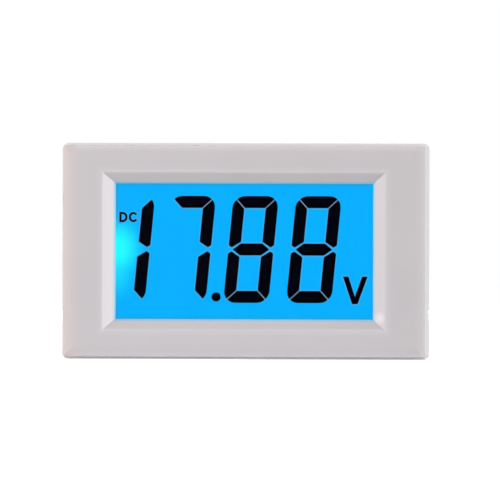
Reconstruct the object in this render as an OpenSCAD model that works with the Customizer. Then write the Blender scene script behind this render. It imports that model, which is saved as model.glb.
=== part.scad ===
// Digital panel meter: a flanged front housing that snaps into a panel cut-out, a backlit
// reflective number display, a circuit board and a rear cover with two screw terminals.
// Millimetres. X to the right, Y into the panel, Z up. Y = 0 is the flange's seating face.

/* [Window] */
// Width of the clear display window
window_w = 50.5; // [48:0.5:60]
// Height of the clear display window
window_h = 26.5; // [25.5:0.5:34]
// Width of the sloped surround at left and right
bevel_x = 2.5; // [1:0.1:4]
// Width of the sloped surround at top and bottom
bevel_z = 2.2; // [1:0.1:3.5]
// Depth of the sloped surround
bevel_depth = 1.4; // [1.2:0.1:2.4]
// Depth of the upright step at the foot of the slope
step_depth = 0.5; // [0.3:0.1:0.8]

/* [Flange] */
// Width of the flange past the window at each short side
rim_x = 10.75; // [9.75:0.25:13]
// Height of the flange past the window at top and bottom
rim_z = 7.9; // [7.4:0.1:11]
// Thickness of the flange in front of the panel
flange_t = 5; // [4.6:0.1:5.6]
// How far each side wall leans in from seat to face
flange_draft = 0.55; // [0.1:0.05:0.8]
// Width of the soft crown round the face
crown_w = 2; // [1:0.1:2.5]
// Radius of the crown in section
crown_r = 6; // [3:0.1:8]
// Radius of the flange's four corners
corner_r = 1.2; // [1:0.1:3]

/* [Sleeve] */
// How far the flange overhangs the sleeve at each short side
overhang_x = 2.5; // [2.2:0.1:3]
// How far the flange overhangs the sleeve at top and bottom
overhang_z = 2.2; // [1.8:0.1:2.5]
// Length of the sleeve behind the seating face
sleeve_len = 12; // [12:0.5:18]
// Wall thickness of the sleeve
wall = 1.6; // [1.4:0.1:1.9]
// Outside corner radius of the sleeve
sleeve_r = 1.5; // [0.8:0.1:2.2]
// Thickness of each locating rib on the long sides
rib_w = 0.8; // [0.5:0.1:1.5]
// Height of each locating rib on the long sides
rib_h = 0.3; // [0.2:0.05:0.4]
// Length of each locating rib on the long sides
rib_len = 7; // [4:0.5:7.5]
// Distance of the locating ribs from the sleeve's side walls
rib_in = 7.5; // [6:0.5:9.5]

/* [Panel clips] */
// Width of each snap arm
clip_w = 11; // [8:0.5:12]
// Length of each snap arm
clip_len = 8.2; // [7.5:0.1:8.6]
// Thickness of each snap arm
clip_t = 1.3; // [1:0.1:1.4]
// Gap between the flange and the arm's free end
clip_gap = 2.1; // [2.1:0.1:2.4]
// Width of the slots beside the arm
clip_slot = 1; // [0.6:0.1:1.4]
// Height of one tooth step
tooth_rise = 0.5; // [0.3:0.05:0.55]
// Length of one tooth step
tooth_run = 0.9; // [0.6:0.1:1.1]

/* [Display] */
// Gap between the front glass and the screw posts
glass_gap_x = 0.4; // [0.25:0.05:0.6]
// Gap between the front glass and the sleeve at top and bottom
glass_gap_z = 1; // [0.8:0.05:1.2]
// Thickness of each glass
glass_t = 0.7; // [0.5:0.1:0.8]
// Thickness of the crystal layer between the glasses
cell_gap = 0.1; // [0.08:0.01:0.15]
// Gap between the rear glass and the contact strips
rear_glass_gap = 0.35; // [0.3:0.05:0.6]
// Width of the seal round the crystal layer
seal_w = 0.8; // [0.5:0.1:1]
// Thickness of each polariser and film
film_t = 0.2; // [0.15:0.05:0.25]
// Margin of the front polariser past the window
film_margin = 0.6; // [0.4:0.05:0.7]

/* [Digits] */
// Tens of the reading, shown as a bare 1
leading_one = 1; // [0:1:1]
// Units of the reading
digit_units = 7; // [0:1:9]
// Tenths of the reading
digit_tenths = 8; // [0:1:9]
// Hundredths of the reading
digit_hundredths = 8; // [0:1:9]
// Height of a digit
digit_h = 20.9; // [16:0.1:22]
// Width of a digit
digit_w = 8.9; // [7:0.05:9.5]
// Width of a digit's strokes
stroke = 2.36; // [1.4:0.02:2.5]
// Gap between a digit's strokes
stroke_gap = 0.14; // [0.1:0.01:0.3]
// Lean of the digits in degrees
digit_slant = 5.5; // [0:0.5:8]
// Distance from one digit to the next
digit_pitch = 12.32; // [11:0.02:12.6]
// Distance of the leading one from the units digit
leading_pitch = 11.94; // [11:0.02:12.2]
// Left foot of the last digit from the window's centre
digit_x = 8.08; // [7.5:0.02:9]
// Foot of the digits below the window's centre
digit_drop = 10.06; // [8.5:0.02:11]
// Radius of the decimal point
dot_r = 0.9; // [0.5:0.05:1]
// Distance of the decimal point left of the tenths digit
dot_back = 1.36; // [1.3:0.02:1.9]
// Height of the decimal point's centre above the digits' foot
dot_up = 1.14; // [1:0.02:1.4]

/* [Backlight] */
// Thickness of the light guide
guide_t = 2.6; // [2.2:0.1:3]
// Gap between the display frame and the sleeve at top and bottom
frame_gap_z = 0.45; // [0.35:0.05:0.6]
// Thickness of the display frame's walls at top and bottom
frame_wall = 0.7; // [0.6:0.05:0.8]
// Thickness of the display frame's walls at the short sides
frame_side = 1.05; // [0.8:0.05:1.2]
// Length of the light source package
lamp_len = 3.8; // [3:0.1:5]
// Thickness of the light source package
lamp_t = 1.9; // [1.4:0.1:2.1]
// Height of the light source above the window's centre
lamp_z = 0.7; // [-3:0.1:3]
// Thickness of each contact strip
contact_t = 1.5; // [1.2:0.1:1.6]

/* [Board] */
// Thickness of the circuit board
board_t = 1.6; // [1.2:0.1:1.8]
// Gap between the circuit board and the sleeve
board_gap = 0.3; // [0.2:0.05:0.5]
// Radius of the screw posts
post_r = 1.75; // [1.5:0.05:1.8]
// Distance of each post from the sleeve's side wall
post_in_x = 2.15; // [2:0.05:2.2]
// Distance of each post from the sleeve's top or bottom wall
post_in_z = 2.9; // [2.6:0.1:3.4]
// Radius of the board screws' shanks
board_screw_r = 0.8; // [0.7:0.05:0.9]
// Length of the board screws under the head
board_screw_len = 5; // [4.4:0.1:5.2]
// Radius of the board screws' heads
board_head_r = 1.7; // [1.5:0.05:1.8]
// Height of the board screws' heads
board_head_h = 1.3; // [1:0.1:1.6]

/* [Components] */
// Side of the converter chip's body
chip_size = 10; // [9:0.5:11]
// Thickness of the converter chip's body
chip_t = 2; // [1.4:0.1:2.4]
// Number of leads along each side of the chip
chip_leads = 11; // [8:1:11]
// Distance between the chip's leads
lead_pitch = 0.8; // [0.75:0.05:0.85]
// Width of a chip lead
lead_w = 0.35; // [0.25:0.05:0.45]
// Distance of the converter chip left of the centre
chip_left = 4; // [3.5:0.1:4.5]
// Height of the converter chip above the centre
chip_up = 6.5; // [6:0.1:7]
// Radius of the electrolytic capacitor
can_r = 3.15; // [2.5:0.05:3.5]
// Height of the electrolytic capacitor
can_h = 7.2; // [5.5:0.1:8]
// Distance of the electrolytic capacitor left of the centre
can_left = 23.6; // [23.4:0.1:24]
// Height of the electrolytic capacitor above the centre
can_up = 8.4; // [8:0.1:9]
// Width of each film capacitor
film_cap_w = 7.2; // [6:0.1:7.4]
// Thickness of each film capacitor
film_cap_t = 2.5; // [2:0.1:2.8]
// Height of each film capacitor
film_cap_h = 6; // [4.5:0.1:6.5]
// Distance from one film capacitor to the next
film_cap_pitch = 3.9; // [3.3:0.1:4.1]
// Distance of the film capacitors left of the centre
film_cap_left = 15.2; // [15:0.1:15.4]
// Height of the highest film capacitor above the centre
film_cap_up = 12.2; // [11.8:0.1:12.6]
// Length of the quartz crystal's can
crystal_w = 10.2; // [9:0.1:11]
// Thickness of the quartz crystal's can
crystal_t = 3.8; // [3:0.1:4.2]
// Height of the quartz crystal's can
crystal_h = 3.5; // [2.5:0.1:4]
// Distance of the quartz crystal right of the centre
crystal_right = 9.5; // [9.2:0.1:9.8]
// Height of the quartz crystal above the centre
crystal_up = 12.6; // [12.2:0.1:12.8]
// Length of a chip resistor
chip_r_len = 2; // [1.6:0.1:2.2]
// Width of a chip resistor
chip_r_w = 1.25; // [0.8:0.05:1.4]
// Thickness of a chip resistor
chip_r_t = 0.55; // [0.4:0.05:0.7]
// Distance from one chip resistor to the next
resistor_pitch = 2.4; // [2.2:0.1:2.6]
// Distance of the long rows of chip resistors below the centre
resistor_drop = 3.4; // [2.8:0.1:3.8]
// Distance of the right-hand rows from the centre
resistor_right = 8.5; // [8:0.1:9]
// Distance of the left-hand row from the centre
resistor_left = 9; // [8.6:0.1:9.4]
// Width of the voltage regulator's body
regulator_w = 6.6; // [6:0.1:7]
// Height of the voltage regulator's body
regulator_h = 6; // [5.4:0.1:6.4]
// Thickness of the voltage regulator's body
regulator_t = 2.2; // [1.8:0.1:2.5]
// Length of the voltage regulator's leads
regulator_lead = 2.4; // [1.8:0.1:3]
// Distance of the voltage regulator left of the centre
regulator_left = 24; // [23.5:0.1:24.5]
// Distance of the voltage regulator below the centre
regulator_drop = 6; // [5.6:0.1:6.4]
// Length of the protection diode's body
diode_len = 4.4; // [4:0.1:5]
// Width of the protection diode's body
diode_w = 2.7; // [2.4:0.1:3]
// Thickness of the protection diode's body
diode_t = 2.2; // [1.8:0.1:2.4]
// Distance of the protection diode right of the centre
diode_right = 18; // [17:0.5:20]
// Distance of the protection diode below the centre
diode_drop = 8; // [7.5:0.1:9]
// Length of each solder joint
solder_len = 5.2; // [4.8:0.1:5.6]
// Width of each solder joint
solder_w = 3.2; // [2.8:0.1:3.4]
// Height of each solder joint
solder_h = 0.9; // [0.6:0.05:1.1]
// Side of the trimmer's body
trimmer_size = 6.6; // [6:0.1:7]
// Height of the trimmer's body
trimmer_h = 4.8; // [4:0.1:5]
// Radius of the trimmer's rotor
rotor_r = 1.6; // [1.4:0.05:1.8]
// Running clearance round the trimmer's rotor
rotor_clear = 0.05; // [0.03:0.01:0.09]
// Distance of the trimmer right of the centre
trimmer_x = 20; // [19:0.5:21]
// Distance of the trimmer above the centre
trimmer_z = 7; // [6:0.5:8]

/* [Rear cover] */
// Length of the rear cover behind the sleeve
cover_len = 8; // [7.5:0.5:10]
// Thickness of the rear cover's end wall
end_t = 1.8; // [1.4:0.1:2.2]
// Length of the lip that enters the sleeve
lip_len = 3.2; // [3:0.1:3.4]
// Thickness of the lip
lip_t = 1; // [0.8:0.05:1.3]
// Gap between the lip and the sleeve
lip_clear = 0.1; // [0.05:0.01:0.2]
// Width of each cover hook
hook_w = 7; // [5:0.5:9]
// Height of each cover hook
hook_h = 0.9; // [0.6:0.05:1.1]
// Distance of the cover hooks from the centre
hook_x = 16; // [15:0.5:18]
// Radius of the trimmer's access hole
access_r = 2.1; // [1.9:0.05:2.3]
// Wall of the tube behind the access hole
access_wall = 1.1; // [0.9:0.1:1.5]
// Depth of the recessed field on the rear
field_depth = 0.3; // [0.2:0.05:0.5]
// Width of the recessed field on the rear
field_w = 26; // [18:0.5:27]
// Height of the recessed field on the rear
field_h = 11; // [7:0.5:12]
// Distance of the recessed field left of the centre
field_left = 10; // [8:0.5:12]
// Height of the recessed field above the centre
field_up = 7; // [5.5:0.5:8]
// Width of the chamfer round the rear edge
rear_chamfer = 0.8; // [0.4:0.1:1.2]
// Width of each ventilation slot in the top wall
vent_w = 1.4; // [1:0.1:1.8]
// Length of each ventilation slot
vent_len = 4.2; // [3:0.1:4.8]
// Distance from one ventilation slot to the next
vent_pitch = 3.6; // [3.2:0.1:4.2]
// Number of ventilation slots
vent_count = 5; // [3:2:5]
// Width of the recessed pads for the polarity signs
sign_w = 4.4; // [3.6:0.1:5]
// Height of the recessed pads for the polarity signs
sign_h = 3.2; // [2.8:0.1:3.4]

/* [Terminals] */
// Width of each terminal bay
bay_w = 9.6; // [9:0.1:10.5]
// Depth of each terminal bay
bay_depth = 7; // [6.6:0.1:7.2]
// Height of each terminal bay above the cover's lower edge
bay_h = 13; // [12.8:0.1:13.5]
// Thickness of the walls round the bays
bay_wall = 1.5; // [1.2:0.1:1.8]
// Thickness of the terminal plates
plate_t = 1.2; // [0.8:0.1:1.4]
// Width of the terminal plates
plate_w = 9; // [7.6:0.1:9]
// Length of the terminal plates
plate_len = 11; // [10:0.1:11.2]
// Width of each plate's solder blade
blade_w = 3; // [2:0.1:4]
// Thickness of each plate's solder blade
blade_t = 0.8; // [0.6:0.05:1]
// Side of the square clamp washers
washer_size = 7.4; // [6.6:0.1:7.6]
// Thickness of the clamp washers
washer_t = 1; // [0.8:0.1:1.2]
// Radius of the terminal screws' shanks
screw_r = 1.75; // [1.45:0.05:1.85]
// Radial clearance round the terminal screws' shanks
screw_clear = 0.06; // [0.03:0.01:0.09]
// Length of the terminal screws under the head
screw_len = 5.4; // [4.8:0.1:5.6]
// Radius of the terminal screws' heads
head_r = 3.1; // [2.7:0.05:3.2]
// Height of the terminal screws' heads
head_h = 2.2; // [1.8:0.1:2.4]
// Height of the terminal screws above the cover's lower edge
screw_up = 8.1; // [8:0.05:8.4]
// Width of the slots in the screws' heads
slot_w = 0.9; // [0.6:0.05:1.2]
// Depth of the slots in the screws' heads
slot_depth = 1.1; // [0.8:0.05:1.3]

/* [Hidden] */
eps = 0.01;
corner_slack = 0.02;
face_y = -flange_t;
flange_w = window_w + 2 * rim_x;
flange_h = window_h + 2 * rim_z;
ledge_y = face_y + bevel_depth + step_depth;
sleeve_w = flange_w - 2 * overhang_x;
sleeve_h = flange_h - 2 * overhang_z;
inner_w = sleeve_w - 2 * wall;
inner_h = sleeve_h - 2 * wall;
inner_r = 0.6;

post_x = inner_w / 2 - post_in_x;
post_z = inner_h / 2 - post_in_z;
glass_w = 2 * (post_x - post_r - glass_gap_x);
glass_h = inner_h - 2 * glass_gap_z;
guard_t = 0.8;
guard_gap = 0.1;

// The display frame, worked inwards: an outer wall, the contact strips' slots, a wall round the guide.
frame_gap = 0.1;
frame_out_w = glass_w - 2 * frame_gap;
frame_out_h = inner_h - 2 * frame_gap_z;
frame_in_w = frame_out_w - 2 * frame_side;
strip_z = frame_out_h / 2 - frame_wall - frame_gap - contact_t;
frame_in_h = 2 * (strip_z - frame_gap - frame_wall);
guide_w = frame_in_w - 2 * frame_gap;
guide_h = frame_in_h - 2 * frame_gap;
strip_w = guide_w - 2 * frame_gap;
rear_glass_h = 2 * (strip_z - rear_glass_gap);
rear_film_w = guide_w - 1;
lamp_x = -guide_w / 2 - frame_gap;
ink_gap = 0.02;
front_glass_y = ledge_y + film_t;
cell_y = front_glass_y + glass_t;
rear_glass_y = cell_y + cell_gap;
rear_film_y = rear_glass_y + glass_t;
diffuser_y = rear_film_y + film_t;
guide_y = diffuser_y + film_t;
reflector_y = guide_y + guide_t;
board_y = reflector_y + film_t;
board_back_y = board_y + board_t;

board_w = inner_w - 2 * board_gap;
board_h = inner_h - 2 * board_gap;
notch_w = clip_w + 2 * clip_slot + 1;
notch_d = 3 * tooth_rise + clip_t - wall + 0.5;

chip_mark_in = 1.4;

cover_y = sleeve_len;
rear_y = cover_y + cover_len;
cover_in_w = inner_w - 2 * lip_clear - 2 * lip_t;
cover_in_h = inner_h - 2 * lip_clear - 2 * lip_t;
hook_y = sleeve_len - lip_len + 0.5;
hook_run = 1.5;

floor_y = rear_y - bay_depth;
floor_t = 1.6;
bay_x = (bay_w + bay_wall) / 2;
bay_bottom = -sleeve_h / 2;
bay_top = bay_bottom + bay_h;
screw_z = bay_bottom + screw_up;
plate_bottom = bay_bottom + 1.6;
plate_top = plate_bottom + plate_len;
blade_z = plate_top - blade_t;
blade_end_y = board_y + 0.3;
head_y = floor_y + plate_t + washer_t;
tip_y = head_y - screw_len;
boss_r = screw_r + 1.3;
boss_y = tip_y - 1.4;
trimmer_y = board_back_y;
trimmer_top = trimmer_y + trimmer_h;
rotor_depth = 1.6;
access_y = trimmer_top + 1;

// ---- Shared shapes ----

// A block from one corner to the other.
module block(x0, x1, y0, y1, z0, z1) {
    translate([x0, y0, z0])
        cube([x1 - x0, y1 - y0, z1 - z0]);
}

// A flat X-Z outline carried from y0 to y1.
module slab(y0, y1) {
    translate([0, y1, 0])
        rotate([90, 0, 0])
            linear_extrude(height = y1 - y0)
                children();
}

// A round bar along Y.
module bar(r, y0, y1, n = 48) {
    translate([0, y1, 0])
        rotate([90, 0, 0])
            cylinder(r = r, h = y1 - y0, $fn = n);
}

// A rectangle with round corners.
module round_rect(w, h, r) {
    square([w - 2 * r, h], center = true);
    square([w, h - 2 * r], center = true);
    for (sx = [-1, 1])
        for (sz = [-1, 1])
            translate([sx * (w / 2 - r), sz * (h / 2 - r)])
                circle(r = r, $fn = 32);
}

// A rectangular ring.
module ring(w, h, t) {
    difference() {
        square([w, h], center = true);
        square([w - 2 * t, h - 2 * t], center = true);
    }
}

// ---- Front housing ----

// Section across the flange: leaning sides and a soft crown at each end of the face.
module rim_section(w) {
    face_half = w / 2 - flange_draft;
    crown_drop = crown_r - sqrt(crown_r * crown_r - crown_w * crown_w);
    intersection() {
        polygon([[-w / 2, 0], [w / 2, 0], [face_half, face_y], [-face_half, face_y]]);
        union() {
            translate([-w / 2, face_y + crown_drop])
                square([w, flange_t]);
            translate([-(face_half - crown_w), face_y])
                square([2 * (face_half - crown_w), flange_t]);
            for (sx = [-1, 1])
                translate([sx * (face_half - crown_w), face_y + crown_r])
                    circle(r = crown_r, $fn = 96);
        }
    }
}

// Section across the window: the sloped surround, then the upright step.
module window_section(w, bevel) {
    foot_y = face_y + bevel_depth;
    polygon([[-w / 2 - bevel, face_y - 1], [w / 2 + bevel, face_y - 1], [w / 2 + bevel, face_y],
        [w / 2, foot_y], [w / 2, ledge_y + 0.5], [-w / 2, ledge_y + 0.5],
        [-w / 2, foot_y], [-w / 2 - bevel, face_y]]);
}

// What is cut from the flange's four corners, so that they are round and lean with its sides.
module corner_trim() {
    lean = flange_draft / flange_t;
    reach = corner_r + 1;
    for (sx = [-1, 1])
        for (sz = [-1, 1])
            translate([sx * (flange_w / 2 - corner_r), 0, sz * (flange_h / 2 - corner_r)])
                difference() {
                    translate([sx * reach / 2, face_y / 2, sz * reach / 2])
                        cube([reach, flange_t + 2, reach], center = true);
                    translate([0, 1, 0])
                        rotate([90, 0, 0])
                            cylinder(r1 = corner_r + lean + corner_slack,
                                r2 = corner_r - flange_draft - lean + corner_slack,
                                h = flange_t + 2, $fn = 32);
                }
}

module flange_blank() {
    difference() {
        intersection() {
            linear_extrude(height = flange_h + 2, center = true)
                rim_section(flange_w);
            rotate([0, 90, 0])
                linear_extrude(height = flange_w + 2, center = true)
                    rim_section(flange_h);
        }
        corner_trim();
    }
}

module window_cut() {
    intersection() {
        linear_extrude(height = flange_h, center = true)
            window_section(window_w, bevel_x);
        rotate([0, 90, 0])
            linear_extrude(height = flange_w, center = true)
                window_section(window_h, bevel_z);
    }
}

// One snap arm on the right side, rooted at the rear, its stepped free end towards the flange.
module snap_arm() {
    x0 = sleeve_w / 2;
    y0 = clip_gap;
    y1 = clip_gap + clip_len;
    linear_extrude(height = clip_w, center = true)
        polygon([[x0 - clip_t, y0], [x0 + tooth_rise, y0], [x0 + tooth_rise, y0 + tooth_run],
            [x0 + 2 * tooth_rise, y0 + tooth_run], [x0 + 2 * tooth_rise, y0 + 2 * tooth_run],
            [x0 + 3 * tooth_rise, y0 + 2 * tooth_run], [x0 + 3 * tooth_rise, y0 + 2 * tooth_run + 0.6],
            [x0, y1 - 0.6], [x0, y1 + eps], [x0 - wall, y1 + eps], [x0 - wall, y1 - 1],
            [x0 - clip_t, y1 - 2]]);
}

module front_housing() {
    color([0.80, 0.79, 0.80]) {
        difference() {
            union() {
                flange_blank();
                slab(-1, sleeve_len)
                    round_rect(sleeve_w, sleeve_h, sleeve_r);
                // Locating ribs that take up the play in the cut-out.
                for (sx = [-1, 1])
                    for (sz = [-1, 1])
                        translate([sx * (sleeve_w / 2 - rib_in), 0, sz * (sleeve_h / 2)])
                            block(-rib_w / 2, rib_w / 2, 0, rib_len, -rib_h, rib_h);
            }
            window_cut();
            slab(ledge_y, sleeve_len + 1)
                round_rect(inner_w, inner_h, inner_r);
            // Openings round the snap arms.
            for (sx = [-1, 1]) {
                block(sx * sleeve_w / 2 - 2 * wall, sx * sleeve_w / 2 + 2 * wall,
                    0, clip_gap + clip_len, -clip_w / 2 - clip_slot, clip_w / 2 + clip_slot);
            }
            // Windows that the rear cover's hooks snap into.
            for (sx = [-1, 1])
                translate([sx * hook_x, 0, 0])
                    block(-hook_w / 2 - 0.3, hook_w / 2 + 0.3, hook_y - 0.15, hook_y + hook_run + 0.15,
                        -sleeve_h, sleeve_h);
        }
        for (sx = [-1, 1])
            scale([sx, 1, 1])
                snap_arm();
        // Screw posts, each tied to the side wall by a web.
        for (sx = [-1, 1])
            for (sz = [-1, 1])
                translate([sx * post_x, 0, sz * post_z])
                    difference() {
                        union() {
                            bar(post_r, ledge_y - 0.2, board_y);
                            block(sx > 0 ? 0 : -post_in_x - 0.2, sx > 0 ? post_in_x + 0.2 : 0,
                                ledge_y - 0.2, board_y - 0.4, -0.5, 0.5);
                        }
                        bar(board_screw_r + 0.05, board_y - board_screw_len + board_t - 0.4, board_y + 1, 32);
                    }
        // Ribs that centre the front glass.
        for (sx = [-1, 1])
            for (sz = [-1, 1])
                scale([sx, 1, sz]) {
                    block(glass_w / 2 + guard_gap, glass_w / 2 + guard_gap + guard_t, ledge_y - 0.2, cell_y,
                        0.23 * glass_h, 0.32 * glass_h);
                    block(0.25 * glass_w, 0.32 * glass_w, ledge_y - 0.2, cell_y,
                        glass_h / 2 + guard_gap, inner_h / 2 + 0.1);
                }
    }
}

// ---- Display ----

module front_polariser() {
    color([0.35, 0.37, 0.38, 0.6])
        slab(ledge_y, front_glass_y)
            square([window_w + 2 * film_margin, window_h + 2 * film_margin], center = true);
}

module front_glass() {
    color([0.75, 0.88, 0.88, 0.4])
        slab(front_glass_y, cell_y)
            square([glass_w, glass_h], center = true);
}

module display_seal() {
    color([0.85, 0.82, 0.62])
        slab(cell_y, rear_glass_y)
            ring(glass_w, rear_glass_h, seal_w);
}

// Digit outlines are worked out upright, then leaned.
function lean(p) = [p[0] + p[1] * tan(digit_slant), p[1]];
function arc(cx, cz, a0, a1) =
    [for (i = [0:4]) [cx + stroke * cos(a0 + (a1 - a0) * i / 4), cz + stroke * sin(a0 + (a1 - a0) * i / 4)]];
function flip_u(points) = [for (p = points) [digit_w - p[0], p[1]]];
function flip_v(points) = [for (p = points) [p[0], digit_h - p[1]]];
half_turn = asin(stroke_gap / 2 / stroke);
mitre_gap = stroke_gap / sqrt(2);
mid = digit_h / 2;
stroke_top = concat([[stroke + mitre_gap, digit_h - stroke]],
    arc(stroke, digit_h - stroke, 135 - half_turn, 90),
    arc(digit_w - stroke, digit_h - stroke, 90, 45 + half_turn),
    [[digit_w - stroke - mitre_gap, digit_h - stroke]]);
stroke_upper_right = concat([[digit_w - stroke, digit_h - stroke - mitre_gap]],
    arc(digit_w - stroke, digit_h - stroke, 45 - half_turn, 0),
    [[digit_w, mid + 0.34 * stroke], [digit_w - 0.28 * stroke, mid + 0.16 * stroke],
        [digit_w - stroke, mid + 0.63 * stroke]]);
stroke_middle = [[0.36 * stroke, mid], [stroke, mid + stroke / 2], [digit_w - stroke, mid + stroke / 2],
    [digit_w - 0.36 * stroke, mid], [digit_w - stroke, mid - stroke / 2], [stroke, mid - stroke / 2]];
strokes = [stroke_top, stroke_upper_right, flip_v(stroke_upper_right), flip_v(stroke_top),
    flip_u(flip_v(stroke_upper_right)), flip_u(stroke_upper_right), stroke_middle];
lit = [[0, 1, 2, 3, 4, 5], [1, 2], [0, 1, 3, 4, 6], [0, 1, 2, 3, 6], [1, 2, 5, 6], [0, 2, 3, 5, 6],
    [0, 2, 3, 4, 5, 6], [0, 1, 2], [0, 1, 2, 3, 4, 5, 6], [0, 1, 2, 3, 5, 6]];

module digit(value, x) {
    translate([x, -digit_drop])
        for (k = lit[value])
            polygon([for (p = strokes[k]) lean(p)]);
}

module display_digits() {
    color([0.02, 0.02, 0.06])
        slab(cell_y + ink_gap, rear_glass_y) {
            digit(digit_hundredths, digit_x);
            digit(digit_tenths, digit_x - digit_pitch);
            digit(digit_units, digit_x - 2 * digit_pitch);
            if (leading_one == 1)
                digit(1, digit_x - 2 * digit_pitch - leading_pitch);
            translate([digit_x - digit_pitch - dot_back, dot_up - digit_drop])
                circle(r = dot_r, $fn = 32);
        }
}

module rear_glass() {
    color([0.75, 0.88, 0.88, 0.4])
        slab(rear_glass_y, rear_film_y)
            square([glass_w, rear_glass_h], center = true);
}

module rear_polariser() {
    color([0.35, 0.37, 0.38, 0.6])
        slab(rear_film_y, diffuser_y)
            square([rear_film_w, guide_h], center = true);
}

module diffuser_film() {
    color([0.95, 0.96, 0.97, 0.8])
        slab(diffuser_y, guide_y)
            square([rear_film_w, guide_h], center = true);
}

module light_guide() {
    color([0.10, 0.62, 0.95, 0.8])
        slab(guide_y, reflector_y)
            square([guide_w, guide_h], center = true);
}

module reflector_film() {
    color([0.93, 0.94, 0.95])
        slab(reflector_y, board_y)
            square([guide_w, guide_h], center = true);
}

module backlight_lamp() {
    color([0.92, 0.93, 0.86])
        difference() {
            block(lamp_x - lamp_t, lamp_x, guide_y + 0.3, board_y,
                lamp_z - lamp_len / 2, lamp_z + lamp_len / 2);
            // The lens well, facing the guide.
            block(lamp_x - 0.4, lamp_x + 1, guide_y + 0.7, board_y - 0.5,
                lamp_z - lamp_len / 2 + 0.5, lamp_z + lamp_len / 2 - 0.5);
        }
}

module display_frame() {
    color([0.93, 0.93, 0.91])
        slab(rear_film_y, board_y)
            difference() {
                square([frame_out_w, frame_out_h], center = true);
                square([frame_in_w, frame_in_h], center = true);
                for (sz = [-1, 1])
                    translate([0, sz * (strip_z + contact_t / 2)])
                        square([strip_w + 2 * frame_gap, contact_t + 2 * frame_gap], center = true);
                translate([-frame_out_w / 2, lamp_z])
                    square([4 * frame_side, lamp_len + 0.4], center = true);
            }
}

module contact_strip(side) {
    color([0.16, 0.16, 0.17])
        slab(cell_y, board_y)
            translate([0, side * (strip_z + contact_t / 2)])
                square([strip_w, contact_t], center = true);
}

module upper_contact_strip() {
    contact_strip(1);
}

module lower_contact_strip() {
    contact_strip(-1);
}

// ---- Circuit board ----

module main_board() {
    color([0.06, 0.34, 0.19])
        difference() {
            slab(board_y, board_back_y)
                round_rect(board_w, board_h, 0.5);
            for (sx = [-1, 1]) {
                block(sx * board_w / 2 - notch_d, sx * board_w / 2 + notch_d, board_y - 1, board_back_y + 1,
                    -notch_w / 2, notch_w / 2);
                for (sz = [-1, 1])
                    translate([sx * post_x, 0, sz * post_z])
                        bar(board_screw_r + 0.35, board_y - 1, board_back_y + 1, 32);
                // Slots for the terminal plates' blades.
                block(sx * bay_x - blade_w / 2 - 0.15, sx * bay_x + blade_w / 2 + 0.15,
                    board_y - 1, board_back_y + 1, blade_z - 0.15, blade_z + blade_t + 0.15);
            }
        }
}

module board_screws() {
    color([0.72, 0.72, 0.74])
        for (sx = [-1, 1])
            for (sz = [-1, 1])
                translate([sx * post_x, 0, sz * post_z])
                    difference() {
                        union() {
                            bar(board_screw_r, board_back_y - board_screw_len, board_back_y + 0.3, 32);
                            bar(board_head_r, board_back_y, board_back_y + board_head_h, 32);
                        }
                        block(-board_head_r - 1, board_head_r + 1, board_back_y + board_head_h - 0.6,
                            board_back_y + board_head_h + 1, -0.25, 0.25);
                        block(-0.25, 0.25, board_back_y + board_head_h - 0.6,
                            board_back_y + board_head_h + 1, -board_head_r - 1, board_head_r + 1);
                    }
}

module converter_chip() {
    color([0.08, 0.08, 0.09])
        translate([-chip_left, 0, chip_up])
            difference() {
                block(-chip_size / 2, chip_size / 2, board_back_y + 0.1, board_back_y + 0.1 + chip_t,
                    -chip_size / 2, chip_size / 2);
                // The mark beside the first lead.
                translate([chip_mark_in - chip_size / 2, 0, chip_size / 2 - chip_mark_in])
                    bar(0.5, board_back_y + chip_t - 0.05, board_back_y + chip_t + 1, 24);
            }
}

// One gull-wing lead that starts at the body's side and ends flat on the board.
module lead() {
    mid_y = board_back_y + 0.1 + chip_t / 2;
    t = 0.15;
    translate([0, 0, -lead_w / 2])
        linear_extrude(height = lead_w)
            polygon([[0, mid_y + t], [0.7, mid_y + t], [1.05, board_back_y + t], [1.6, board_back_y + t],
                [1.6, board_back_y], [0.95, board_back_y], [0.6, mid_y], [0, mid_y]]);
}

module converter_leads() {
    color([0.78, 0.78, 0.80])
        translate([-chip_left, 0, chip_up])
            for (side = [0:3])
                rotate([0, 90 * side, 0])
                    for (i = [0:chip_leads - 1])
                        translate([chip_size / 2, 0, (i - (chip_leads - 1) / 2) * lead_pitch])
                            lead();
}

module quartz_crystal() {
    half = (crystal_w - crystal_t) / 2;
    color([0.78, 0.78, 0.80])
        translate([crystal_right, 0, crystal_up]) {
            block(-half, half, board_back_y, board_back_y + crystal_h, -crystal_t / 2, crystal_t / 2);
            for (sx = [-1, 1])
                translate([sx * half, 0, 0])
                    bar(crystal_t / 2, board_back_y, board_back_y + crystal_h);
            slab(board_back_y, board_back_y + 0.5) {
                square([2 * half, crystal_t + 0.8], center = true);
                for (sx = [-1, 1])
                    translate([sx * half, 0])
                        circle(r = crystal_t / 2 + 0.4, $fn = 48);
            }
        }
}

module film_capacitors() {
    color([0.82, 0.42, 0.10])
        for (i = [0:2])
            translate([-film_cap_left, board_back_y, film_cap_up - i * film_cap_pitch])
                slab(0, film_cap_h)
                    round_rect(film_cap_w, film_cap_t, 0.4);
}

module electrolytic_capacitor() {
    base_t = 0.8;
    color([0.80, 0.81, 0.83])
        translate([-can_left, board_back_y, can_up]) {
            slab(0, base_t)
                square([2 * can_r + 0.3, 2 * can_r + 0.3], center = true);
            rotate([-90, 0, 0])
                rotate_extrude($fn = 64)
                    polygon([[0, base_t - 0.1], [can_r, base_t - 0.1], [can_r, 1.7], [can_r - 0.25, 2],
                        [can_r, 2.3], [can_r, can_h - 0.3], [can_r - 0.3, can_h], [0, can_h]]);
        }
}

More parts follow.
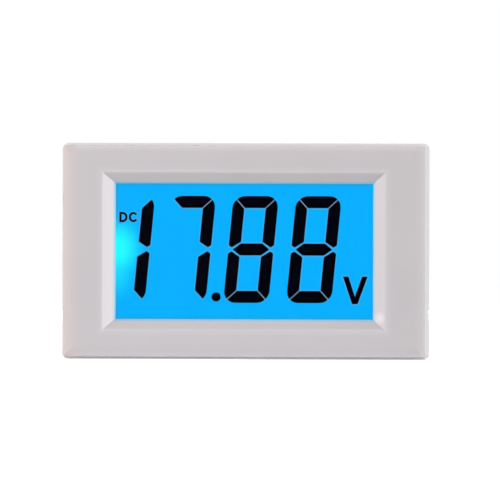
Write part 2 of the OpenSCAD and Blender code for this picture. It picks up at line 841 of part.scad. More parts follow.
// One chip resistor lying on the board.
module chip_resistor(x, z) {
    translate([x, board_back_y, z])
        block(-chip_r_w / 2, chip_r_w / 2, 0, chip_r_t, -chip_r_len / 2, chip_r_len / 2);
}

module chip_resistors() {
    color([0.12, 0.12, 0.13]) {
        for (i = [0:4])
            chip_resistor(resistor_right + resistor_pitch * i, -resistor_drop);
        for (i = [0:3])
            chip_resistor(-resistor_left - resistor_pitch * i, -resistor_drop);
        for (i = [0:2])
            chip_resistor(resistor_right - 1.5 + resistor_pitch * i, chip_up);
    }
}

module protection_diode() {
    color([0.09, 0.09, 0.10])
        translate([diode_right, board_back_y, -diode_drop]) {
            block(-diode_len / 2, diode_len / 2, 0.1, 0.1 + diode_t, -diode_w / 2, diode_w / 2);
            block(-diode_len / 2 - 0.4, diode_len / 2 + 0.4, 0, 0.25, -diode_w / 4, diode_w / 4);
        }
}

module voltage_regulator() {
    lead_x = regulator_w / 3;
    color([0.10, 0.10, 0.11])
        translate([-regulator_left, board_back_y, -regulator_drop]) {
            block(-regulator_w / 2, regulator_w / 2, 0.2, 0.2 + regulator_t,
                -regulator_h / 2, regulator_h / 2);
            // The heat tab above the body and the leads below it.
            block(-0.4 * regulator_w, 0.4 * regulator_w, 0, 0.5, -regulator_h / 3, 0.7 * regulator_h);
            for (sx = [-1, 1])
                block(sx * lead_x - 0.35, sx * lead_x + 0.35, 0, 0.5,
                    -regulator_h / 2 - regulator_lead, -regulator_h / 3);
        }
}

module trimmer_body() {
    color([0.10, 0.28, 0.62])
        translate([trimmer_x, 0, trimmer_z])
            difference() {
                slab(trimmer_y, trimmer_top)
                    round_rect(trimmer_size, trimmer_size, 0.4);
                bar(rotor_r + rotor_clear, trimmer_top - rotor_depth, trimmer_top + 1);
                // End marks either side of the rotor.
                for (sx = [-1, 1])
                    translate([sx * 2.5, 0, -2.5])
                        block(-0.3, 0.3, trimmer_top - 0.25, trimmer_top + 1, -0.3, 0.3);
            }
}

module trimmer_rotor() {
    color([0.93, 0.92, 0.86])
        translate([trimmer_x, 0, trimmer_z])
            difference() {
                bar(rotor_r, trimmer_top - rotor_depth, trimmer_top + 0.15);
                block(-0.3, 0.3, trimmer_top - 0.6, trimmer_top + 1, -rotor_r + 0.25, rotor_r - 0.25);
                translate([0, 0, rotor_r - 0.35])
                    block(-0.55, 0.55, trimmer_top - 0.3, trimmer_top + 1, -0.55, 0);
            }
}

// Section across a solder joint of width w.
module solder_section(w) {
    polygon([[-w / 2, 0], [w / 2, 0], [w / 2 - solder_h, solder_h], [solder_h - w / 2, solder_h]]);
}

module solder_joints() {
    color([0.74, 0.75, 0.77])
        for (sx = [-1, 1])
            difference() {
                intersection() {
                    translate([sx * bay_x, board_back_y, 0])
                        linear_extrude(height = sleeve_h, center = true)
                            solder_section(solder_len);
                    translate([sx * bay_x, board_back_y, blade_z + blade_t / 2])
                        rotate([0, 90, 0])
                            linear_extrude(height = 2 * solder_len, center = true)
                                solder_section(solder_w);
                }
                block(sx * bay_x - blade_w / 2, sx * bay_x + blade_w / 2, board_y, board_back_y + 2,
                    blade_z, blade_z + blade_t);
            }
}

// ---- Rear cover ----

// A hook on the lip's top side, its ramp towards the front.
module cover_hook() {
    z0 = inner_h / 2 - lip_clear;
    rotate([90, 0, 90])
        linear_extrude(height = hook_w, center = true)
            polygon([[hook_y, z0 - 0.3], [hook_y, z0], [hook_y + hook_run - 0.3, z0 + hook_h],
                [hook_y + hook_run, z0 + hook_h], [hook_y + hook_run, z0 - 0.3]]);
}

// The cover's outside, chamfered round its rear edge.
module cover_shell() {
    intersection() {
        slab(cover_y, rear_y)
            round_rect(sleeve_w, sleeve_h, sleeve_r);
        linear_extrude(height = sleeve_h + 2, center = true)
            chamfer_section(sleeve_w / 2);
        rotate([0, 90, 0])
            linear_extrude(height = sleeve_w + 2, center = true)
                chamfer_section(sleeve_h / 2);
    }
}

// Section across the cover, its two rear corners cut off.
module chamfer_section(half) {
    polygon([[-half, cover_y - 1], [half, cover_y - 1], [half, rear_y - rear_chamfer],
        [half - rear_chamfer, rear_y], [rear_chamfer - half, rear_y], [-half, rear_y - rear_chamfer]]);
}

module rear_cover() {
    tub_half = bay_w + 1.5 * bay_wall;
    color([0.78, 0.77, 0.78])
        difference() {
            union() {
                difference() {
                    union() {
                        cover_shell();
                        slab(cover_y - lip_len, cover_y + 1)
                            round_rect(inner_w - 2 * lip_clear, inner_h - 2 * lip_clear, 0.5);
                    }
                    slab(cover_y - lip_len - 1, rear_y - end_t)
                        round_rect(cover_in_w, cover_in_h, 0.8);
                    // The lip is left out behind the snap arms.
                    block(-flange_w, flange_w, cover_y - lip_len - 1, cover_y, -notch_w / 2, notch_w / 2);
                }
                for (sx = [-1, 1])
                    for (sz = [-1, 1])
                        translate([sx * hook_x, 0, 0])
                            scale([1, 1, sz])
                                cover_hook();
                // The tub round the terminal bays, narrower where it enters the sleeve.
                block(-tub_half, tub_half, cover_y, rear_y - 0.2, bay_bottom + 0.4, bay_top + bay_wall);
                block(-tub_half, tub_half, floor_y - floor_t, cover_y + 0.2,
                    lip_clear - inner_h / 2, bay_top + bay_wall);
                for (sx = [-1, 1])
                    translate([sx * bay_x, 0, screw_z])
                        bar(boss_r, boss_y, floor_y - floor_t + 0.2);
                translate([trimmer_x, 0, trimmer_z])
                    bar(access_r + access_wall, access_y, rear_y - end_t + 0.2);
            }
            for (sx = [-1, 1]) {
                block(sx * bay_x - bay_w / 2, sx * bay_x + bay_w / 2, floor_y, rear_y + 1,
                    bay_bottom - 1, bay_top);
                // Blind clearance for the screw's end.
                translate([sx * bay_x, 0, screw_z])
                    bar(screw_r + 0.35, tip_y - 0.6, floor_y + 1);
                block(sx * bay_x - blade_w / 2 - 0.15, sx * bay_x + blade_w / 2 + 0.15,
                    floor_y - floor_t - 1, floor_y + 1, blade_z - 0.15, blade_z + blade_t + 0.15);
            }
            translate([trimmer_x, 0, trimmer_z])
                bar(access_r, access_y - 1, rear_y + 1);
            // Ventilation slots through the top wall.
            for (i = [0:vent_count - 1])
                translate([(i - (vent_count - 1) / 2) * vent_pitch, 0, 0])
                    block(-vent_w / 2, vent_w / 2, cover_y + 1.4, cover_y + 1.4 + vent_len,
                        cover_in_h / 2 - 1, sleeve_h);
            // A shallow pad for the polarity sign above each bay.
            for (sx = [-1, 1])
                translate([sx * bay_x, 0, bay_top + bay_wall + sign_h / 2 + 0.6])
                    slab(rear_y - field_depth, rear_y + 1)
                        round_rect(sign_w, sign_h, 0.5);
            // The recessed field at the upper left of the rear.
            translate([-field_left, 0, field_up])
                slab(rear_y - field_depth, rear_y + 1)
                    round_rect(field_w, field_h, 0.8);
        }
}

// ---- Terminals ----

module terminal_plate(sx) {
    color([0.80, 0.62, 0.28])
        difference() {
            union() {
                block(sx * bay_x - plate_w / 2, sx * bay_x + plate_w / 2, floor_y, floor_y + plate_t,
                    plate_bottom, plate_top);
                block(sx * bay_x - blade_w / 2, sx * bay_x + blade_w / 2, blade_end_y, floor_y + eps,
                    blade_z, blade_z + blade_t);
            }
            translate([sx * bay_x, 0, screw_z])
                bar(screw_r + screw_clear, floor_y - 1, floor_y + plate_t + 1);
        }
}

module clamp_washer(sx) {
    color([0.76, 0.76, 0.78])
        difference() {
            translate([sx * bay_x, 0, screw_z])
                slab(floor_y + plate_t, floor_y + plate_t + washer_t)
                    round_rect(washer_size, washer_size, 0.6);
            translate([sx * bay_x, 0, screw_z])
                bar(screw_r + screw_clear, floor_y, head_y + 1);
        }
}

module terminal_screw(sx) {
    color([0.80, 0.80, 0.82])
        translate([sx * bay_x, 0, screw_z])
            difference() {
                union() {
                    bar(screw_r, tip_y, head_y + 0.3);
                    // The head has a short cheese side and a domed top.
                    translate([0, head_y, 0])
                        rotate([-90, 0, 0])
                            rotate_extrude($fn = 64)
                                polygon([[0, 0], [head_r, 0], [head_r, head_h - 0.8],
                                    [head_r - 0.15, head_h - 0.45], [head_r - 0.45, head_h - 0.18],
                                    [head_r - 0.95, head_h], [0, head_h]]);
                }
                block(-head_r - 1, head_r + 1, head_y + head_h - slot_depth, head_y + head_h + 1,
                    -slot_w / 2, slot_w / 2);
                block(-slot_w / 2, slot_w / 2, head_y + head_h - slot_depth, head_y + head_h + 1,
                    -head_r + 1, head_r - 1);
            }
}

module positive_plate() {
    terminal_plate(1);
}

module negative_plate() {
    terminal_plate(-1);
}

module positive_washer() {
    clamp_washer(1);
}

module negative_washer() {
    clamp_washer(-1);
}

module positive_screw() {
    terminal_screw(1);
}

module negative_screw() {
    terminal_screw(-1);
}

front_housing();
front_polariser();
front_glass();
display_seal();
display_digits();
rear_glass();
rear_polariser();
diffuser_film();
light_guide();
reflector_film();
backlight_lamp();
display_frame();
upper_contact_strip();
lower_contact_strip();
main_board();
board_screws();
converter_chip();
converter_leads();
quartz_crystal();
film_capacitors();
electrolytic_capacitor();
chip_resistors();
protection_diode();
voltage_regulator();
trimmer_body();
trimmer_rotor();
solder_joints();
rear_cover();
positive_plate();
negative_plate();
positive_washer();
negative_washer();
positive_screw();
negative_screw();
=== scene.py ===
import bpy
import bmesh
import math
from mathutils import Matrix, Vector
from mathutils.bvhtree import BVHTree


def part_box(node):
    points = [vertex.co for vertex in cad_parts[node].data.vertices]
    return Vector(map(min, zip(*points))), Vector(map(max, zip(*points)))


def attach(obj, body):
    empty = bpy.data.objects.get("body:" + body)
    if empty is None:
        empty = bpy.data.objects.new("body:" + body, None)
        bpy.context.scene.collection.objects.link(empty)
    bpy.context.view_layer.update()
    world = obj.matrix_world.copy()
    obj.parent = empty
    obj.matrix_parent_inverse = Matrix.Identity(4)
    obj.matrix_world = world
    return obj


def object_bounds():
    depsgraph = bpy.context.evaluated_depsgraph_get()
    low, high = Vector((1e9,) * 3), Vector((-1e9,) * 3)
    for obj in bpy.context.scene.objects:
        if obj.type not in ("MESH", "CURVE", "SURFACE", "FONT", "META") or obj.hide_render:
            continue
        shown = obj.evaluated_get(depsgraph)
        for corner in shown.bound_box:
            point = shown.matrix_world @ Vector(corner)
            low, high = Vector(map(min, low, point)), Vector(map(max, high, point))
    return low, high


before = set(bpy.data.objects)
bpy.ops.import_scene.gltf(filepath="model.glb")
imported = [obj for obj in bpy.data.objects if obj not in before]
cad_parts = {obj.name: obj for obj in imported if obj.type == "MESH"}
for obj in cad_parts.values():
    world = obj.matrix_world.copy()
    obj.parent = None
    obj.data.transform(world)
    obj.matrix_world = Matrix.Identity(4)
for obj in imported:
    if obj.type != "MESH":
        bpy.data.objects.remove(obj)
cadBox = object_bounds()
scene = bpy.context.scene
mm = 0.001
print("frame loaded:", len(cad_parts), "nodes")


# view, floor and soft light

studio = {
    "azimuth": 4.45,  # degrees round to the right of the face
    "elevation": 0.15,
    "roll": 0.17,
    "distance": 2.4,
    "frameWidth": 97.72 * mm,  # width of view at the meter
    "aim": (1.05 * mm, -2.5 * mm, 0.28 * mm),
    "floorSize": 3.0,
    "floorTint": (0.56, 0.55, 0.54, 1),
    "floorLift": 0.96,  # white added where the floor is seen, which lights nothing
    "worldLight": 0.1,
    "lamps": [  # name, place, size, watts, tint
        ("rightSoftbox", (1.4, -0.61, 0.02), (1.2, 0.73), 41.5, (1.0, 0.99, 1.0)),
        ("leftSoftbox", (-0.8, -0.29, 0.02), (0.72, 0.43), 12.1, (1.0, 0.98, 0.98)),
        ("frontSoftbox", (-0.35, -0.75, 0.1), (0.5, 0.3), 1.0, (1.0, 0.985, 1.0)),
        ("rearSoftbox", (0, 1.3, 0.02), (0.2, 0.2), 11, (1.0, 0.99, 0.98)),
    ],
    "matteLamps": ("rearSoftbox",),  # lamps that the metal doesn't mirror
}


def placeCamera():
    az, el = math.radians(studio["azimuth"]), math.radians(studio["elevation"])
    aim = Vector(studio["aim"])
    out = Vector((math.sin(az) * math.cos(el), -math.cos(az) * math.cos(el), math.sin(el)))
    data = bpy.data.cameras.new("viewCamera")
    cam = bpy.data.objects.new("viewCamera", data)
    scene.collection.objects.link(cam)
    cam.location = aim + out * studio["distance"]
    look = (-out).to_track_quat("-Z", "Y").to_matrix().to_4x4()
    look = look @ look.Rotation(math.radians(studio["roll"]), 4, "Z")
    look.translation = cam.location
    cam.matrix_world = look
    data.sensor_width = 36
    data.lens = 36 * studio["distance"] / studio["frameWidth"]
    data.clip_start = 0.05
    data.clip_end = 20
    scene.camera = cam


def buildWorld():
    world = bpy.data.worlds.new("softWorld")
    scene.world = world
    world.use_nodes = True
    nodes, links = world.node_tree.nodes, world.node_tree.links
    nodes.clear()
    out = nodes.new("ShaderNodeOutputWorld")
    fill = nodes.new("ShaderNodeBackground")
    fill.inputs["Color"].default_value = (1, 1, 1, 1)
    fill.inputs["Strength"].default_value = studio["worldLight"]
    seen = nodes.new("ShaderNodeBackground")
    seen.inputs["Color"].default_value = (1, 1, 1, 1)
    seen.inputs["Strength"].default_value = 1.0
    links.new(seeingRays(nodes, links), mixShaders(nodes, links, fill, seen, out).inputs["Fac"])


def seeingRays(nodes, links):
    path = nodes.new("ShaderNodeLightPath")
    first = nodes.new("ShaderNodeMath")
    first.operation = "MAXIMUM"
    links.new(path.outputs["Is Camera Ray"], first.inputs[0])
    links.new(path.outputs["Is Glossy Ray"], first.inputs[1])
    second = nodes.new("ShaderNodeMath")
    second.operation = "MAXIMUM"
    links.new(first.outputs[0], second.inputs[0])
    links.new(path.outputs["Is Transmission Ray"], second.inputs[1])
    return second.outputs[0]


def mixShaders(nodes, links, a, b, out):
    mix = nodes.new("ShaderNodeMixShader")
    links.new(a.outputs[0], mix.inputs[1])
    links.new(b.outputs[0], mix.inputs[2])
    links.new(mix.outputs[0], out.inputs["Surface"])
    return mix


def buildFloor():
    size, low = studio["floorSize"], cadBox[0][2]
    bm = bmesh.new()
    bmesh.ops.create_grid(bm, x_segments=8, y_segments=8, size=size)
    mesh = bpy.data.meshes.new("paleFloor")
    bm.to_mesh(mesh)
    bm.free()
    floor = bpy.data.objects.new("paleFloor", mesh)
    floor.location = (0, 0, low - 0.02 * mm)
    scene.collection.objects.link(floor)
    mat = bpy.data.materials.new("paleFloor")
    mat.use_nodes = True
    nodes, links = mat.node_tree.nodes, mat.node_tree.links
    nodes.clear()
    out = nodes.new("ShaderNodeOutputMaterial")
    card = nodes.new("ShaderNodeBsdfDiffuse")
    card.inputs["Color"].default_value = studio["floorTint"]
    lift = nodes.new("ShaderNodeEmission")
    lift.inputs["Color"].default_value = (1, 1, 1, 1)
    both = nodes.new("ShaderNodeAddShader")
    power = nodes.new("ShaderNodeMath")
    power.operation = "MULTIPLY"
    power.inputs[1].default_value = studio["floorLift"]
    links.new(seeingRays(nodes, links), power.inputs[0])
    links.new(power.outputs[0], lift.inputs["Strength"])
    links.new(card.outputs[0], both.inputs[0])
    links.new(lift.outputs[0], both.inputs[1])
    links.new(both.outputs[0], out.inputs["Surface"])
    mesh.materials.append(mat)


def placeLamps():
    for name, place, size, watts, tint in studio["lamps"]:
        data = bpy.data.lights.new(name, "AREA")
        data.shape = "RECTANGLE"
        data.size, data.size_y = size
        data.energy = watts
        data.color = tint
        lamp = bpy.data.objects.new(name, data)
        lamp.location = place
        lamp.rotation_euler = (-Vector(place)).to_track_quat("-Z", "Y").to_euler()
        lamp.visible_glossy = name not in studio["matteLamps"]
        scene.collection.objects.link(lamp)


scene.view_settings.view_transform = "Standard"
placeCamera()
buildWorld()
buildFloor()
placeLamps()
print("studio set")


# materials

def startMaterial(name):
    mat = bpy.data.materials.new(name)
    mat.use_nodes = True
    nodes, links = mat.node_tree.nodes, mat.node_tree.links
    shader = nodes["Principled BSDF"]
    return mat, nodes, links, shader


def objectPoint(nodes):
    return nodes.new("ShaderNodeTexCoord").outputs["Object"]


def noiseAt(nodes, links, scale, detail=3.0, rough=0.55, stretch=None):
    noise = nodes.new("ShaderNodeTexNoise")
    noise.inputs["Scale"].default_value = scale
    noise.inputs["Detail"].default_value = detail
    noise.inputs["Roughness"].default_value = rough
    point = objectPoint(nodes)
    if stretch:
        shape = nodes.new("ShaderNodeMapping")
        shape.inputs["Scale"].default_value = stretch
        links.new(point, shape.inputs["Vector"])
        point = shape.outputs[0]
    links.new(point, noise.inputs["Vector"])
    return noise.outputs["Fac"]


def spread(nodes, links, value, low, high, fromLow=0.3, fromHigh=0.7):
    ranged = nodes.new("ShaderNodeMapRange")
    ranged.inputs["From Min"].default_value = fromLow
    ranged.inputs["From Max"].default_value = fromHigh
    ranged.inputs["To Min"].default_value = low
    ranged.inputs["To Max"].default_value = high
    links.new(value, ranged.inputs["Value"])
    return ranged.outputs["Result"]


def tintBetween(nodes, links, value, dark, light):
    ramp = nodes.new("ShaderNodeValToRGB")
    ramp.color_ramp.elements[0].position = 0.3
    ramp.color_ramp.elements[1].position = 0.7
    ramp.color_ramp.elements[0].color = (*dark, 1)
    ramp.color_ramp.elements[1].color = (*light, 1)
    links.new(value, ramp.inputs["Fac"])
    return ramp.outputs["Color"]


def roughen(nodes, links, shader, height, distance, strength=1.0, edge=None):
    bump = nodes.new("ShaderNodeBump")
    bump.inputs["Distance"].default_value = distance
    bump.inputs["Strength"].default_value = strength
    links.new(height, bump.inputs["Height"])
    if edge:
        soft = nodes.new("ShaderNodeBevel")
        soft.samples = 6
        soft.inputs["Radius"].default_value = edge
        links.new(soft.outputs["Normal"], bump.inputs["Normal"])
    links.new(bump.outputs["Normal"], shader.inputs["Normal"])


def scaled(colour, share):
    return tuple(min(1.0, c * share) for c in colour)


def pastRect(nodes, links, halfWide, halfHigh, middle=(0, 0)):
    # metres outside a rectangle, less than nought inside it
    split = nodes.new("ShaderNodeSeparateXYZ")
    links.new(objectPoint(nodes), split.inputs[0])
    sides = []
    for axis, half, centre in ((0, halfWide, middle[0]), (2, halfHigh, middle[1])):
        away = nodes.new("ShaderNodeMath")
        away.operation = "SUBTRACT"
        links.new(split.outputs[axis], away.inputs[0])
        away.inputs[1].default_value = centre
        size = nodes.new("ShaderNodeMath")
        size.operation = "ABSOLUTE"
        links.new(away.outputs[0], size.inputs[0])
        past = nodes.new("ShaderNodeMath")
        past.operation = "SUBTRACT"
        links.new(size.outputs[0], past.inputs[0])
        past.inputs[1].default_value = half
        sides.append(past.outputs[0])
    far = nodes.new("ShaderNodeMath")
    far.operation = "MAXIMUM"
    links.new(sides[0], far.inputs[0])
    links.new(sides[1], far.inputs[1])
    return far.outputs[0]


def leanAcross(nodes, links):
    # how far the surface faces right, less than nought where it faces left
    split = nodes.new("ShaderNodeSeparateXYZ")
    links.new(nodes.new("ShaderNodeTexCoord").outputs["Normal"], split.inputs[0])
    return split.outputs[0]


def stepped(nodes, links, value, stops):
    # stops are (metres, share) pairs, eased between
    low, high = stops[0][0], stops[-1][0]
    ramp = nodes.new("ShaderNodeValToRGB")
    ramp.color_ramp.interpolation = "EASE"
    line = ramp.color_ramp.elements
    for place, share in stops[1:-1]:
        line.new((place - low) / (high - low)).color = (share, share, share, 1)
    line[0].color = (stops[0][1],) * 3 + (1,)
    line[-1].color = (stops[-1][1],) * 3 + (1,)
    links.new(spread(nodes, links, value, 0.0, 1.0, low, high), ramp.inputs["Fac"])
    return ramp.outputs["Color"]


def blended(nodes, links, share, first, second):
    # either colour may be a plain tuple or a socket
    mix = nodes.new("ShaderNodeMix")
    mix.data_type = "RGBA"
    links.new(share, mix.inputs["Factor"])
    for socket, colour in (("A", first), ("B", second)):
        if isinstance(colour, tuple):
            mix.inputs[socket].default_value = (*colour, 1)
        else:
            links.new(colour, mix.inputs[socket])
    return mix.outputs["Result"]


def mouldedPlastic(name, look):
    mat, nodes, links, shader = startMaterial(name)
    cloud = noiseAt(nodes, links, look["cloudScale"], 2.0)
    colour = tintBetween(nodes, links, cloud, scaled(look["colour"], 1 - look["shade"]),
                         scaled(look["colour"], 1 + look["shade"]))
    # painted light and shade: the bands tint the plastic lighter or darker where light falls on it
    for where, stops, tint in look.get("bands", ()):  # along a rectangle, or by the way a slope leans
        value = leanAcross(nodes, links) if where == "lean" else pastRect(nodes, links, *where)
        colour = blended(nodes, links, stepped(nodes, links, value, stops), colour, tint)
    # painted highlight: a bright spot tinted into the base colour
    if "glint" in look:
        place, reach, tint = look["glint"]
        gap = nodes.new("ShaderNodeVectorMath")
        gap.operation = "DISTANCE"
        links.new(objectPoint(nodes), gap.inputs[0])
        gap.inputs[1].default_value = place
        near = spread(nodes, links, gap.outputs["Value"], 1.0, 0.0, 0.0, reach)
        colour = blended(nodes, links, near, colour, tint)
    links.new(colour, shader.inputs["Base Color"])
    grain = noiseAt(nodes, links, look["grainScale"], 2.0, 0.5)
    rough = spread(nodes, links, grain, look["roughness"] - 0.06, look["roughness"] + 0.06)
    if "polish" in look:
        half, stops, smooth = look["polish"]
        shine = stepped(nodes, links, pastRect(nodes, links, *half), stops)
        rough = blended(nodes, links, shine, rough, (smooth,) * 3)
    links.new(rough, shader.inputs["Roughness"])
    shader.inputs["Specular IOR Level"].default_value = look["gloss"]
    roughen(nodes, links, shader, grain, look["grainDepth"], look["grainStrength"], look["edge"])
    return mat


def platedMetal(name, look):
    mat, nodes, links, shader = startMaterial(name)
    shader.inputs["Metallic"].default_value = 1.0
    patina = noiseAt(nodes, links, look["cloudScale"], 4.0)
    colour = tintBetween(nodes, links, patina, look["dark"], look["light"])
    links.new(colour, shader.inputs["Base Color"])
    drawn = noiseAt(nodes, links, look["lineScale"], 2.0, 0.5, look["stretch"])
    rough = spread(nodes, links, drawn, look["roughness"] - 0.08, look["roughness"] + 0.1)
    links.new(rough, shader.inputs["Roughness"])
    roughen(nodes, links, shader, drawn, look["lineDepth"], 0.6, look["edge"])
    return mat


def threadedMetal(name, look):
    # the thread is a sawtooth wound round the shank, below the head only
    mat, nodes, links, shader = startMaterial(name)
    shader.inputs["Metallic"].default_value = 1.0
    patina = noiseAt(nodes, links, look["cloudScale"], 4.0)
    colour = tintBetween(nodes, links, patina, look["dark"], look["light"])
    links.new(colour, shader.inputs["Base Color"])
    shader.inputs["Roughness"].default_value = look["roughness"]
    split = nodes.new("ShaderNodeSeparateXYZ")
    links.new(objectPoint(nodes), split.inputs[0])
    offsets = []
    for axis, centre in ((0, look["axis"][0]), (2, look["axis"][1])):
        off = nodes.new("ShaderNodeMath")
        off.operation = "SUBTRACT"
        links.new(split.outputs[axis], off.inputs[0])
        off.inputs[1].default_value = centre
        offsets.append(off.outputs[0])
    angle = nodes.new("ShaderNodeMath")
    angle.operation = "ARCTAN2"
    links.new(offsets[1], angle.inputs[0])
    links.new(offsets[0], angle.inputs[1])
    turns = nodes.new("ShaderNodeMath")
    turns.operation = "DIVIDE"
    links.new(angle.outputs[0], turns.inputs[0])
    turns.inputs[1].default_value = 2 * math.pi
    climb = nodes.new("ShaderNodeMath")
    climb.operation = "MULTIPLY_ADD"
    links.new(split.outputs[1], climb.inputs[0])
    climb.inputs[1].default_value = 1 / look["pitch"]
    links.new(turns.outputs[0], climb.inputs[2])
    wave = nodes.new("ShaderNodeMath")
    wave.operation = "PINGPONG"
    links.new(climb.outputs[0], wave.inputs[0])
    wave.inputs[1].default_value = 0.5
    shank = spread(nodes, links, split.outputs[1], 1.0, 0.0, look["headAt"] - 0.05 * mm, look["headAt"])
    cut = nodes.new("ShaderNodeMath")
    cut.operation = "MULTIPLY"
    links.new(wave.outputs[0], cut.inputs[0])
    links.new(shank, cut.inputs[1])
    roughen(nodes, links, shader, cut.outputs[0], look["threadDepth"], 1.0, look["edge"])
    return mat


windowHalf = (25.25 * mm, 13.25 * mm)

housingLook = {
    "colour": (0.597, 0.571, 0.584),
    "shade": 0.012,
    "cloudScale": 90,
    "grainScale": 5200,
    "grainDepth": 0.012 * mm,
    "grainStrength": 0.35,
    "roughness": 0.5,
    "gloss": 0.4,
    "edge": 0.16 * mm,
}
faceLook = {
    **housingLook,
    "bands": [
        # painted highlight along the slope's outer edge: a lighter band standing in for the lamps' shine on
        # the rounded edge
        ((27.75 * mm, 15.45 * mm),
         [(-0.5 * mm, 0), (-0.05 * mm, 1), (0.25 * mm, 0.6), (0.6 * mm, 0.3), (1.4 * mm, 0)],
         (0.66, 0.635, 0.65)),
        # painted light on the crown, tinted lighter than the plastic as the lamps fall on each side: warm
        # above and to the left, cooler below and to the right
        ((1.0, 20.4 * mm, (0, -1.0 * mm)), [(0, 0), (0.8 * mm, 0.55), (1.6 * mm, 1)],
         (0.758, 0.694, 0.711)),
        ((1.0, 20.4 * mm, (0, 1.0 * mm)), [(0, 0), (0.8 * mm, 0.7), (1.6 * mm, 1)],
         (0.672, 0.632, 0.688)),
        ((34.2 * mm, 1.0, (2.0 * mm, 0)), [(0, 0), (1.1 * mm, 0.6), (2.1 * mm, 1)],
         (0.655, 0.585, 0.577)),
        ((35.5 * mm, 1.0, (-2.0 * mm, 0)), [(0.6 * mm, 0), (1.5 * mm, 0.25), (2.0 * mm, 1)],
         (0.64, 0.635, 0.623)),
        # painted highlight on the leaning top and bottom walls, tinted far lighter than the plastic
        ((1.0, 20.6 * mm), [(0, 0), (0.12 * mm, 1), (0.2 * mm, 1)], (0.93, 0.91, 0.92)),
        # painted light and shade on the slopes at the window's two ends, tinted by which way each faces:
        # the slope facing right is lighter than the slope facing left
        ("lean", [(0.38, 0), (0.44, 1), (0.54, 1), (0.6, 0)], (0.685, 0.654, 0.67)),
        ("lean", [(-0.6, 0), (-0.54, 1), (-0.44, 1), (-0.38, 0)], (0.613, 0.574, 0.587)),
        # the display's light caught by the foot of the slope
        (windowHalf, [(-0.2 * mm, 1), (0.15 * mm, 1), (0.55 * mm, 0)], (0.31, 0.57, 0.77)),
    ],
    "polish": ((1.0, 20.72 * mm, (0, -0.22 * mm)), [(-0.1 * mm, 0), (0.1 * mm, 1), (0.2 * mm, 1)], 0.12),
    # painted highlight: a bright spot on the slope's lower right corner
    "glint": ((26.8 * mm, -4.1 * mm, -12.95 * mm), 1.5 * mm, (0.80, 0.77, 0.79)),
}
coverLook = {**housingLook, "colour": (0.56, 0.535, 0.545), "grainScale": 3600, "grainStrength": 0.6}
frameLook = {**housingLook, "colour": (0.80, 0.80, 0.77), "gloss": 0.5, "edge": 0.08 * mm}
printInkLook = {**housingLook, "colour": (0.78, 0.79, 0.76), "roughness": 0.6, "edge": 0.01 * mm}
rubberLook = {
    **housingLook, "colour": (0.035, 0.035, 0.037), "roughness": 0.7, "gloss": 0.25, "shade": 0.2,
}
packageLook = {
    **housingLook, "colour": (0.022, 0.022, 0.024), "roughness": 0.55, "gloss": 0.35, "shade": 0.2,
    "edge": 0.08 * mm,
}
orangeLook = {
    **housingLook, "colour": (0.55, 0.13, 0.02), "roughness": 0.28, "gloss": 0.5, "shade": 0.08,
    "grainScale": 900,
}
trimmerLook = {**packageLook, "colour": (0.012, 0.07, 0.36), "roughness": 0.35, "shade": 0.06}
rotorLook = {**packageLook, "colour": (0.80, 0.77, 0.66), "roughness": 0.45, "shade": 0.05}
zincLook = {
    "dark": (0.50, 0.51, 0.52), "light": (0.74, 0.74, 0.76), "cloudScale": 700, "lineScale": 4000,
    "stretch": (1, 1, 1), "lineDepth": 0.008 * mm, "roughness": 0.3, "edge": 0.12 * mm,
}
screwLook = {
    **zincLook, "axis": (5.55 * mm, -10.85 * mm), "pitch": 0.6 * mm, "headAt": 15.2 * mm,
    "threadDepth": 0.35 * mm,
}
brassLook = {**zincLook, "dark": (0.60, 0.40, 0.12), "light": (0.80, 0.60, 0.25), "stretch": (8, 1, 1)}
solderLook = {**zincLook, "dark": (0.55, 0.56, 0.58), "light": (0.78, 0.79, 0.80), "roughness": 0.22}
canLook = {**zincLook, "stretch": (1, 12, 1), "roughness": 0.26}

boardLook = {
    "mask": (0.007, 0.085, 0.03), "pale": (0.012, 0.125, 0.045), "cloudScale": 60, "weaveScale": 520,
    "weaveDepth": 0.012 * mm, "roughness": 0.3, "edge": 0.05 * mm,
}
traceLook = {**boardLook, "mask": (0.02, 0.19, 0.065), "pale": (0.028, 0.23, 0.08)}


def solderMask(name, look):
    # green lacquer over woven glass
    mat, nodes, links, shader = startMaterial(name)
    cloud = noiseAt(nodes, links, look["cloudScale"], 3.0)
    links.new(tintBetween(nodes, links, cloud, look["mask"], look["pale"]), shader.inputs["Base Color"])
    threads = []
    for axis in ("X", "Z"):
        wave = nodes.new("ShaderNodeTexWave")
        wave.bands_direction = axis
        wave.inputs["Scale"].default_value = look["weaveScale"]
        wave.inputs["Distortion"].default_value = 0.4
        links.new(objectPoint(nodes), wave.inputs["Vector"])
        threads.append(wave.outputs["Fac"])
    weave = nodes.new("ShaderNodeMath")
    weave.operation = "ADD"
    links.new(threads[0], weave.inputs[0])
    links.new(threads[1], weave.inputs[1])
    low, high = look["roughness"] - 0.05, look["roughness"] + 0.08
    links.new(spread(nodes, links, weave.outputs[0], low, high, 0.0, 2.0), shader.inputs["Roughness"])
    roughen(nodes, links, shader, weave.outputs[0], look["weaveDepth"], 0.5, look["edge"])
    return mat


unlit = (0.0, 0.003, 0.01, 1)  # so dark that the glow alone is seen

fieldLook = {
    "blue": (0.0024, 0.437, 1.0),
    "deep": (0.0026, 0.425, 0.985),
    "cyan": (0.019, 0.98, 1.0),
    "rim": (0.012, 0.365, 0.70),
    "rimStops": [(-0.6 * mm, 0), (-0.3 * mm, 0.6), (-0.1 * mm, 1)],
    "glows": [  # middle, reach across and up, share of it that is full, strength
        ((-25.2 * mm, 0.0, 0.45 * mm), (6.3 * mm, 1.0, 7.5 * mm), 0.12, 1.0),
        ((-25.2 * mm, 0.0, -2.3 * mm), (4.7 * mm, 1.0, 8.9 * mm), 0.0, 0.6),
    ],
    "strength": 1.0,
}


